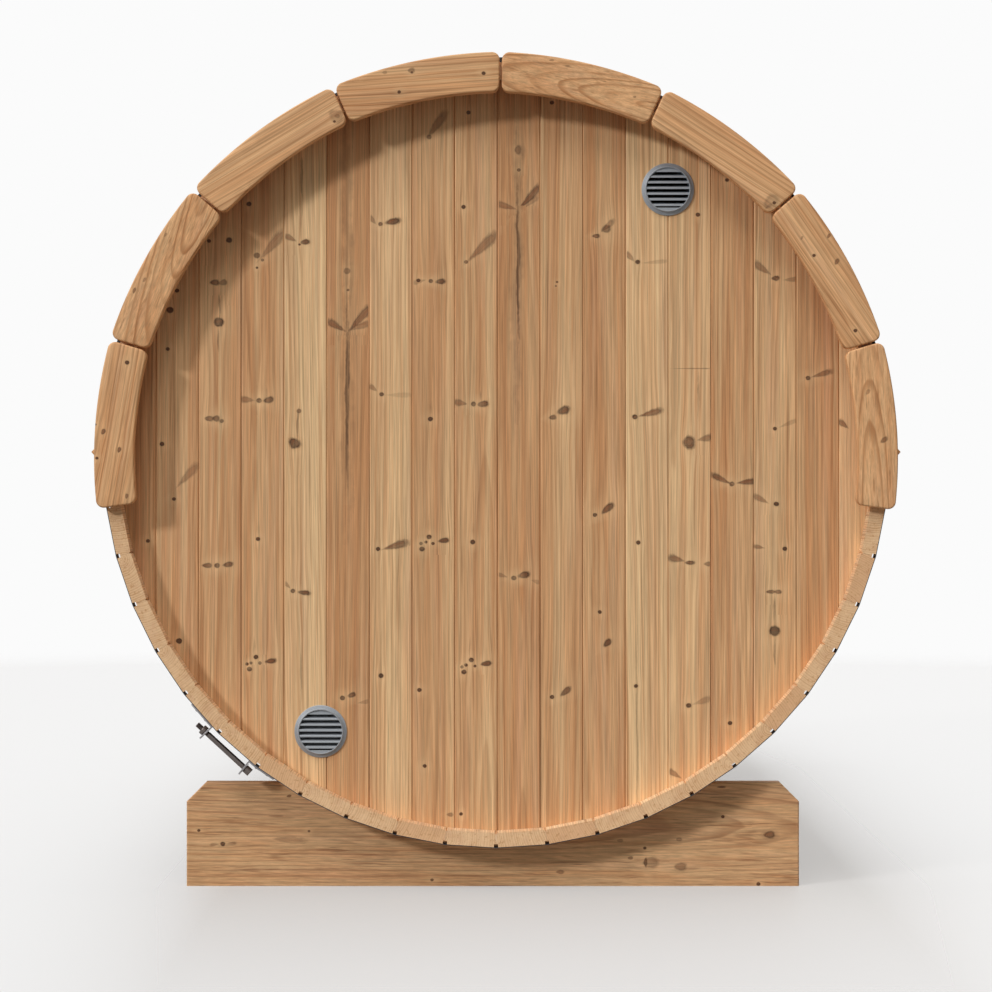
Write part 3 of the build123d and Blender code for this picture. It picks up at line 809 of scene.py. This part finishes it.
# Cradles: one plank each, with the marks that the photograph shows on the near one
cradle_marks = [
    dot(198.8, 830.5, 1.6, 0.8), dot(222.8, 844, 2.4), wing(227, 844, 236, 843, 1.8, 0.5),
    wing(219, 844, 210, 845, 1.8, 0.5), oval(289, 796, 2.4, 1.2, 10, 0.7), dot(309, 831.2, 1.3, 0.7),
    oval(290, 840, 15, 3.4, -5, 0.28), oval(276, 816, 7, 1.2, 0, 0.3), oval(721.2, 787, 4.5, 0.9, 0, 0.8),
    oval(724, 797.5, 16, 1, 0, 0.4), dot(722.9, 816.6, 1.8, 0.8), oval(769.4, 834.7, 5.4, 3.6, 0, 0.7),
    oval(769.4, 834.7, 9, 6, 0, 0.25), oval(679, 839.4, 3, 1.8, 0, 0.45), dot(644.9, 848, 1.6, 0.8),
    oval(630.5, 858, 2.6, 1.6, 0, 0.6), oval(650.9, 862.4, 7.5, 5.6, 0, 0.4),
    oval(645.5, 862.4, 1.8, 4.4, 0, 0.7), oval(680.4, 866.7, 6, 4, 0, 0.5), dot(758.4, 884, 2, 0.9),
    oval(620, 840.6, 3, 1.6, 0, 0.4), oval(560, 872, 4, 2, 0, 0.5), dot(432, 880, 1.6, 0.7),
]
cradle_middle = 0.162
cradle_wood = board_wood(
    "cradle_planks", light=tint(186, 147, 108), dark=tint(163, 124, 88), line=tint(118, 78, 50),
    spacing=0.0125, wobble=0.045, lines=0.62, slots=mark_slots, start=0.5,
)
for end, name in ((-1, "rear"), (1, "front")):
    cradle = copy_of(f"cradle_{name}", f"cradle_plank_{name}")
    outer = end * max(abs(vertex.co.y) for vertex in cradle.data.vertices)
    if end < 0:
        marks = [in_metres(mark, outer) for mark in cradle_marks]
    else:
        marks = random_marks(31, (-0.75, 0.02), (0.75, 0.1), 14)
    lay_marks(cradle, marks, 0.03, grain=(1, 0))
    middle = Vector((0, outer, cradle_middle))
    pith = {"aside": 0, "depth": 0.043, "lean": 0.02, "dive": -0.06 * end}
    lay_grain(cradle, Board(middle, to_right, out_of_end(end), seed=0.31, **pith))
    settle(cradle, cradle_wood, "cradle_wood", f"cradle_{name}")


# Staves: grain along the barrel, and end grain that runs out through the wood. The angle that is added
# is a whole number of staves, and keeps their numbers above 0.
maker = Maker("staves")
x, y, z = maker.place()
up = z - axis_height
angle = maker.math("ARCTAN2", up, x) + math.pi * 4.5
stave = (angle / stave_step).math("FLOOR")
chance, other_chance = maker.chance(stave), maker.chance(stave + 11)
radius = (x * x + up * up).math("SQRT")
from_middle = radius * (angle - (stave + 0.5) * stave_step)
side = (chance - 0.5).math("SIGN")
across = from_middle + side * (0.05 + other_chance * 0.12)
deep = radius - stave_inner + other_chance * 0.06 - 0.03
end = abs(maker.facing()[1]).rise(0.6, 0.9)
long_side = maker.mix(chance * 0.8, tint(214, 184, 150), tint(196, 162, 130))
cut_end = maker.mix(other_chance.rise(0.72, 0.8) * 0.5, tint(208, 175, 138), tint(190, 144, 106))
tones = (
    maker.mix(end, long_side, cut_end),
    maker.mix(end, tint(200, 166, 130), maker.mix(0.5, cut_end, tint(192, 156, 118))),
    maker.mix(end, late_wood, tint(164, 120, 80)),
)
stave_wood = wood(
    maker, (y, across, deep), chance, tones, spacing=0.0058, wobble=0.012, lines=0.55, fine=1 - end * 0.8
)
for group in range(1, 9):
    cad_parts[f"staves_{group}"].material_slots[0].material = stave_wood


# Drip battens
plain_light = tint(196, 152, 110)
batten_wood = board_wood(
    "battens", light=plain_light, dark=tint(170, 124, 84), spacing=0.009, wobble=0.02, lines=0.5
)
battens = copy_of("drip_battens", "drip_batten_pair")
soften(battens, 0.0025, 3)
batten_sides = {
    side: Board(
        Vector((side, 0, axis_height)), to_front, to_right * side, aside=0.02, depth=0.05, dive=0.01, seed=seed
    )
    for side, seed in ((-1, 0.2), (1, 0.7))
}
lay_grain(battens, lambda centre: batten_sides[1 if centre.x > 0 else -1])
settle(battens, batten_wood, "batten_wood", "drip_battens")


# Door: a boarded leaf on two ledges, in a frame
door_wood = board_wood("door_boards", spacing=0.010, wobble=0.024, lines=0.5, slots=mark_slots)
frame_wood = board_wood(
    "frame_boards", light=plain_light, dark=tint(172, 126, 86), spacing=0.009, wobble=0.02, lines=0.5
)
leaf_board_count = 6
leaf_low, leaf_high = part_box("door_leaf")
leaf_pitch = (leaf_high.x - leaf_low.x) / leaf_board_count
leaf = copy_of("door_leaf", "door_leaf_boards")
leaf_knots = random_marks(52, (leaf_low.x + 0.01, leaf_low.z), (leaf_high.x - 0.01, leaf_high.z), 16)
lay_marks(leaf, leaf_knots, 0.05, same_board=same_upright_board(0, leaf_pitch))
lay_grain(leaf, upright_boards(0, leaf_pitch, leaf_high.y, random_boards(53, leaf_board_count), seed=54))
settle(leaf, door_wood, "door_wood", "door_leaf")

opening_half = leaf_high.x + 0.003
corner_inset = 0.03


def frame_board_at(centre):
    """The frame's uprights carry their grain up, also at its corners, and its head and sill across."""
    beside_door = abs(centre.x) > opening_half - 0.001
    beside_corner = abs(centre.x) > opening_half + corner_inset
    at_door_height = leaf_low.z - 0.002 < centre.z < leaf_high.z + 0.002
    along = upward if beside_door and at_door_height or beside_corner else to_right
    return Board(Vector((0, leaf_high.y, 1)), along, to_front, aside=0.05, depth=0.03, seed=0.4, brown=0.6)


door_frame = copy_of("door_frame", "door_frame_boards")
soften(door_frame, 0.0015)
lay_grain(door_frame, frame_board_at)
settle(door_frame, frame_wood, "frame_wood", "door_frame")

ledges = copy_of("door_ledges", "door_ledge_boards")
soften(ledges, 0.003)
ledge_pith = {"aside": 0.02, "depth": 0.04, "dive": 0.02}
lay_grain(ledges, Board(Vector((0, leaf_low.y, 1)), to_right, -to_front, seed=0.8, **ledge_pith))
settle(ledges, frame_wood, "door_wood", "door_ledges")

handle = copy_of("door_handle", "door_pull")
soften(handle, 0.002, angle=50)
grip_middle = Vector((handle.data.vertices[0].co.x, 1.5, 1.1))
lay_grain(handle, Board(grip_middle, upward, to_front, aside=0.01, depth=0.03, seed=0.1, brown=0.8))
settle(handle, frame_wood, "handle_wood", "door_handle")


# Metals
def metal(name, colour, roughness, metallic, cloudiness=0.3, pits=0.12):
    """Clouds of dullness, fine pits and short scratches over a metal or its paint."""
    maker = Maker(name)
    place = maker.place()
    clouds = maker.figure(place, (22, 22, 22), detail=3)
    specks = maker.figure(place, (420, 420, 420))
    scratches = maker.figure(place, (900, 60, 900), detail=1)
    colour = maker.shade(colour, 1 + clouds * cloudiness + specks * pits)
    normal = maker.bump(specks * 0.6 + scratches * 0.5, 0.0002)
    return maker.finish(colour, roughness + clouds * 0.3 + scratches * 0.15, normal, metallic=metallic)


band_steel = metal("band_steel", tint(66, 69, 74), roughness=0.42, metallic=0.5, cloudiness=0.5)
rod_steel = metal("rod_steel", tint(92, 85, 82), roughness=0.26, metallic=0.85, cloudiness=0.4)
lug_steel = metal("lug_steel", tint(132, 130, 132), roughness=0.34, metallic=0.8, cloudiness=0.4)
black_steel = metal("hinge_steel", tint(44, 43, 44), roughness=0.5, metallic=0.3)
vent_grey = metal("vent_metal", tint(131, 136, 142), roughness=0.5, metallic=0.2, cloudiness=0.18, pits=0.1)

for name in ("rear", "front"):
    band = copy_of(f"band_{name}", f"steel_band_{name}")
    soften(band, 0.0008, angle=60)
    smooth(band, 30)
    settle(band, band_steel, "band_steel", f"band_{name}")
    lugs = copy_of(f"tension_lugs_{name}", f"band_lugs_{name}")
    soften(lugs, 0.0006, angle=50)
    settle(lugs, lug_steel, "band_steel", f"tension_lugs_{name}")


# Tensioner rods: a shaft with a thread at its upper end, a nut on a washer, and a six-sided head. A rod is
# made along Z with its upper end down, and half_grip is how far its two seats are from its middle.
band_middle = half_length - 0.0275
rod_turn = 227.45
rod_axis_radius = 1.0054
rod_radius = 0.007
half_grip = 0.0685
rod_end = half_grip + 0.027
thread_pitch = 0.002
thread_root = rod_radius - 0.0009
tip_radius = rod_radius - 0.0016
tip_height = 0.0008
washer_radius = 0.0132
washer_thickness = 0.0014
nut_width, nut_height = 0.0235, 0.0105
head_width, head_height = 0.0195, 0.0165


def hexagon(name, width, length, low):
    """A six-sided bar along Z with its corners turned off."""
    radius = width / 2 / math.cos(math.radians(30))
    bar = {"vertices": 6, "radius": radius, "depth": length, "location": (0, 0, low + length / 2)}
    piece = put(start(bpy.ops.mesh.primitive_cylinder_add, name, **bar))
    soften(piece, width * 0.07, 3, angle=30)
    return piece


def tension_rod(name):
    outline = [(tip_radius, -rod_end), (thread_root, -rod_end + tip_height)]
    height = -rod_end + thread_pitch
    while height < -half_grip + 0.01:
        outline += [(rod_radius, height), (thread_root, height + thread_pitch / 2)]
        height += thread_pitch
    outline += [(rod_radius, height), (rod_radius, half_grip)]
    shaft = turned("shaft", outline, 24)
    nut = hexagon("nut", nut_width, nut_height, -half_grip - nut_height)
    head = hexagon("head", head_width, head_height, half_grip)
    washers = []
    for low in (-half_grip, half_grip - washer_thickness):
        high = low + washer_thickness
        inner, outer = rod_radius, washer_radius
        ring = [(inner, low), (outer, low), (outer, high), (inner, high), (inner, low)]
        washers.append(turned("washer", ring))
    return join(name, [shaft, nut, head, *washers])


rod_angle = math.radians(rod_turn)
rod_out = Vector((math.cos(rod_angle), 0, math.sin(rod_angle)))
rod_foot = rod_out * rod_axis_radius + upward * axis_height
rod = put(tension_rod("tension_rod_assembly_rear"), (0, 0, 0), (0, math.atan2(-rod_out.z, rod_out.x), 0))
front_rod = twin(rod, "tension_rod_assembly_front")
for piece, end, name in ((rod, -1, "rear"), (front_rod, 1, "front")):
    put(piece, rod_foot + to_front * end * band_middle)
    settle(piece, rod_steel, "rod_steel", f"tension_rod_{name}")


def rivets(name, radius, places, material, slot):
    """Domed heads joined in one piece. places: where each sits, and how it is turned from pointing up."""
    dome = [
        (radius, -0.0004), (radius, radius * 0.12), (radius * 0.86, radius * 0.36),
        (radius * 0.55, radius * 0.55), (radius * 0.15, radius * 0.62),
    ]
    pattern = turned("rivet", dome, 16)
    heads = [put(twin(pattern, "head"), spot, turn) for spot, turn in places]
    bpy.data.objects.remove(pattern)
    settle(join(name, heads), material, slot)


lug_half_angle = math.degrees(math.atan(0.063 / rod_axis_radius))
foot_face = 0.9874
for end, name in ((-1, "rear"), (1, "front")):
    places = []
    for side in (-1, 1):
        for further in (1.5, 3.4):
            turn = math.radians(rod_turn + side * (lug_half_angle + further))
            middle_of_stave = (math.floor(turn / stave_step) + 0.5) * stave_step
            reach = foot_face / math.cos(turn - middle_of_stave)
            spot = (reach * math.cos(turn), end * band_middle, axis_height + reach * math.sin(turn))
            places.append((spot, (0, math.pi / 2 - middle_of_stave, 0)))
    rivets(f"lug_rivets_{name}", 0.0048, places, rod_steel, "rod_steel")


# Vents: a rim of fine steps round a raised lip, and blades that slope back into the duct. A vent is made
# facing up Z. Each step of a blade says how far it goes up and out.
vent_rim = [
    (0.0560, -0.0390), (0.0560, -0.0002), (0.0660, -0.0002), (0.0660, 0.0022), (0.0652, 0.0030),
    (0.0632, 0.0036), (0.0628, 0.0031), (0.0622, 0.0037), (0.0602, 0.0044), (0.0598, 0.0039),
    (0.0592, 0.0045), (0.0574, 0.0052), (0.0570, 0.0060), (0.0568, 0.0100), (0.0560, 0.0108),
    (0.0550, 0.0108), (0.0542, 0.0100), (0.0540, 0.0060), (0.0540, -0.0390), (0.0560, -0.0390),
]
grille_radius = 0.0548
blade_width = 0.112
blade_lip = 0.0034
blade_pitch = 0.0143
blade_front = 0.0085
blade_thickness = 0.0013
lowest_foot = -0.05
lowest_steps = [(-0.0060, 0)]
blade_steps = [(0.0010, -0.0006), (0.0060, -0.0190)]
top_steps = [(0.0002, -0.0012), (0.0028, 0), (0.0002, -0.0012), (0.0060, 0)]


def blade(foot, edge, steps):
    """A blade: its lip stands on foot, and the steps go on from edge."""
    lip = start(
        bpy.ops.mesh.primitive_plane_add, "blade", size=1, location=(0, foot + blade_lip / 2, blade_front)
    )
    lip.scale = (blade_width, blade_lip, 1)
    put(lip)

    def bend():
        for up, out in steps:
            bpy.ops.mesh.extrude_edges_move(TRANSFORM_OT_translate={"value": (0, up, out)})

    edit(lip, bend, lambda vertex: abs(vertex.co.y - edge) < 1e-5)
    return lip


def vent(name):
    rim = turned("rim", vent_rim, 96)
    blades = [blade(lowest_foot, lowest_foot, lowest_steps)]
    for row in range(-3, 4):
        foot = row * blade_pitch + 0.00025
        blades.append(blade(foot, foot + blade_lip, top_steps if row == 3 else blade_steps))
    grille = join("grille", blades)
    modify(grille, "SOLIDIFY", thickness=blade_thickness, offset=0)
    duct = {"vertices": 96, "radius": grille_radius, "depth": 0.12}
    cutter = start(bpy.ops.mesh.primitive_cylinder_add, "cutter", **duct)
    modify(grille, "BOOLEAN", operation="INTERSECT", object=cutter, solver="EXACT")
    bpy.data.objects.remove(cutter)
    smooth(grille, 30)
    return put(join(name, [rim, grille]), (0, 0, 0), (math.pi / 2, 0, 0))


low_vent = vent("vent_cover_low")
high_vent = twin(low_vent, "vent_cover_high")
for cover, angle, inset in ((low_vent, 237.6, 0.1195), (high_vent, 57.1, 0.147)):
    turn = math.radians(angle)
    reach = stave_inner - inset
    put(cover, (reach * math.cos(turn), -wall_face, axis_height + reach * math.sin(turn)))
    settle(cover, vent_grey, "vent_metal", "wall_vents")


# Hinges, with three screws along each strap and two on the frame's side
hinges = copy_of("door_hinges", "door_strap_hinges")
soften(hinges, 0.001, angle=50)
settle(hinges, black_steel, "hinge_steel", "door_hinges")
hinge_low, hinge_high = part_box("door_hinges")
half_plate = 0.04
screw_face = leaf_high.y + 0.004
screw_places = ((-0.23, 0), (-0.12, 0), (-0.005, 0), (-0.318, 0.024), (-0.318, -0.024))
screws = []
for z in (hinge_low.z + half_plate, hinge_high.z - half_plate):
    screws += [((x, screw_face, z + up), (-math.pi / 2, 0, 0)) for x, up in screw_places]
rivets("hinge_screws", 0.0055, screws, black_steel, "hinge_steel")


# Roof: felt, and over it courses of pointed shingles from both edges up to a ridge of single tabs
maker = Maker("roof_felt")
place = maker.place()
tab = maker.attribute("tab")[0]
grains = maker.figure(place, (640, 640, 640), detail=1)
clusters = maker.figure(place, (90, 90, 90), detail=3)
weather = maker.figure(place, (3, 3, 3), detail=3)
shade = (0.92 + tab * 0.22 + grains * 1.5 + clusters * 0.5 + weather * 0.35).math("MAXIMUM", 0.2)
felt_bump = maker.bump(grains + clusters * 0.4, 0.0008)
roof_felt = maker.finish(maker.shade(tint(74, 72, 72), shade), 0.9 + grains * 0.15, felt_bump, gloss=0.2)
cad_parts["roof_covering"].material_slots[0].material = roof_felt

roof_half = half_length - 0.048
roof_radius = 0.9907
tab_count = 9
tab_width = 2 * roof_half / tab_count
tab_gap = 0.003
tab_thickness = 0.003
tab_lift = tab_thickness * 1.05
tab_corner = 0.052
course_count = 10
first_course = math.radians(2.9)
course_step = (math.pi / 2 - first_course) / course_count
course_overlap = 0.012
lifted_height = 0.15


def flat_tab(name, width, height):
    """A tab in the X-Y plane, its lower corners cut off, its upper edge at Y = height."""
    piece = start(bpy.ops.mesh.primitive_plane_add, name, size=1, location=(0, height / 2, 0))
    piece.scale = (width, height, 1)
    put(piece)
    cut_corners = {"offset": tab_corner, "affect": "VERTICES"}
    edit(piece, lambda: bpy.ops.mesh.bevel(**cut_corners), lambda vertex: vertex.co.y < height / 2)
    for quarter in (1, 2, 3):
        plane = {"plane_co": (0, height * quarter / 4, 0), "plane_no": (0, 1, 0)}
        edit(piece, lambda: bpy.ops.mesh.bisect(**plane))
    modify(piece, "SOLIDIFY", thickness=tab_thickness, offset=1)
    return piece


def wrap(piece, y, angle, side):
    """Bend a tab round the barrel: its lower edge at angle from the side, and lifted by the course below."""
    for vertex in piece.data.vertices:
        across, up, out = vertex.co
        radius = roof_radius + out + tab_lift * max(0, 1 - up / lifted_height)
        turn = angle + up / roof_radius
        vertex.co = (side * radius * math.cos(turn), y + across, axis_height + radius * math.sin(turn))
    if side > 0:
        edit(piece, bpy.ops.mesh.flip_normals)


def give_tone(piece, value):
    """A tab's own shade, 0 to 1, for the felt."""
    tone = piece.data.attributes.new("tab", "FLOAT_VECTOR", "FACE")
    tone.data.foreach_set("vector", [value, 0, 0] * len(piece.data.polygons))


draw = random.Random(77)
pattern = flat_tab("tab", tab_width - tab_gap, course_step * roof_radius + course_overlap)
tabs = []
for side in (-1, 1):
    for course in range(course_count):
        offset = 0.5 if course % 2 else 0
        for column in range(tab_count + (1 if offset else 0)):
            shingle = twin(pattern, "shingle")
            y = -roof_half + (column + 0.5 - offset) * tab_width
            wrap(shingle, y, first_course + course * course_step, side)
            give_tone(shingle, draw.random())
            tabs.append(shingle)
bpy.data.objects.remove(pattern)
shingles = join("roof_shingles", tabs)
for end in (-1, 1):
    plane = {"plane_co": (0, end * roof_half, 0), "plane_no": (0, end, 0)}
    edit(shingles, lambda: bpy.ops.mesh.bisect(**plane, clear_outer=True, use_fill=True))
settle(shingles, roof_felt, "roof_felt")

# Ridge: tabs across the top, each over the next
cap_count = 20
cap_step = 2 * roof_half / cap_count
cap_overlap = 0.03
cap_half_angle = 0.115
cap_base = roof_radius + 0.0052
caps = []
for number in range(cap_count):
    cap = start(bpy.ops.mesh.primitive_grid_add, "cap", x_subdivisions=8, y_subdivisions=1, size=1)
    modify(cap, "SOLIDIFY", thickness=tab_thickness, offset=1)
    reach = cap_step + (cap_overlap if number < cap_count - 1 else 0)
    for vertex in cap.data.vertices:
        along = vertex.co.y + 0.5
        turn = math.pi / 2 - vertex.co.x * 2 * cap_half_angle
        radius = cap_base + vertex.co.z + tab_lift * (1 - along)
        y = -roof_half + number * cap_step + along * reach
        vertex.co = (radius * math.cos(turn), y, axis_height + radius * math.sin(turn))
    give_tone(cap, draw.random())
    caps.append(cap)
settle(join("roof_ridge_tabs", caps), roof_felt, "roof_felt")


# Floor: a round sheet that is clear far out. Close to the barrel more of its darker sheet shows. That sheet
# takes the real shadows, and it also paints shade round the barrel, reaching farther to its right, in front
# and behind.
floor = start(
    bpy.ops.mesh.primitive_circle_add, "studio_floor", vertices=96, radius=40, fill_type="NGON"
)
maker = Maker("studio_floor")
x, y, z = maker.place()
# Painted shade: the floor darkens towards the barrel, centred 0.12 m to its right, where its shadow falls, and
# fades more slowly in front and behind
beside = (abs(x - 0.12) - 0.8).math("MAXIMUM", 0) / 0.35
before = (abs(y) - 1.45).math("MAXIMUM", 0) / 1.8
near = (-(beside * 1.5 + before)).math("EXPONENT")
far = (x * x + y * y).math("SQRT").rise(2.6, 9)
# Where this falls the darker sheet shows through: painted shade near the barrel, with the real shadows on top
clear_outside_painted_shade = (0.86 - near * 0.5).math("MAXIMUM", far)
dull = {"Base Color": (0.5, 0.485, 0.475, 1), "Roughness": 0.5, "Specular IOR Level": 0.2}
sheet = maker.add("BsdfPrincipled", {}, dull)
clear = maker.add("BsdfTransparent", {}, {})
surface = maker.add("MixShader", {}, {0: clear_outside_painted_shade, 1: sheet, 2: clear})
maker.add("OutputMaterial", {}, {"Surface": surface})
floor.data.materials.append(maker.owner)

# A white surround for the camera and for gloss, and a warm light from above for the surfaces
maker = Maker("studio", bpy.data.worlds)
height = maker.split(maker.add("TexCoord", {}, {}, "Generated"))[2]
warm_light = maker.mix(height, (0.11, 0.097, 0.08, 1), (0.48, 0.445, 0.40, 1))
ambient = maker.add("Background", {}, {"Color": warm_light})
surround = maker.add("Background", {}, {"Color": (0.965, 0.965, 0.965, 1)})
seen_in_gloss = maker.add("LightPath", {}, {}, "Is Glossy Ray") * 0.75
seen = maker.add("LightPath", {}, {}, "Is Camera Ray").math("MAXIMUM", seen_in_gloss)
maker.add("OutputWorld", {}, {"Surface": maker.add("MixShader", {}, {0: seen, 1: ambient, 2: surround})})
bpy.context.scene.world = maker.owner

bpy.context.scene.view_settings.view_transform = "Standard"


def sun(name, towards, energy, angle, colour):
    """A far light. angle: how wide it looks, in degrees, and so how soft its shadows are."""
    lamp = bpy.data.lights.new(name, "SUN")
    lamp.energy = energy
    lamp.angle = math.radians(angle)
    lamp.color = colour
    holder = bpy.data.objects.new(name, lamp)
    holder.rotation_euler = Vector(towards).to_track_quat("-Z", "Y").to_euler()
    bpy.context.scene.collection.objects.link(holder)


sun("key", (1.25, 1.0, -0.78), energy=1.4, angle=7, colour=(1, 1, 1))
sun("top", (0.1, 0.55, -1.0), energy=1.15, angle=32, colour=(1, 0.99, 0.97))
sun("fill", (-0.5, -1.0, -0.8), energy=0.7, angle=50, colour=(1, 0.98, 0.95))

camera = bpy.data.objects.new("camera", bpy.data.cameras.new("camera"))
camera.data.sensor_width = 36
camera.data.lens = camera.data.sensor_width * camera_distance / (photo_width * pixel_at_ends)
camera.location = (0, -half_length - camera_distance, camera_height)
camera.rotation_euler = (math.radians(90), 0, 0)
bpy.context.scene.collection.objects.link(camera)
bpy.context.scene.camera = camera
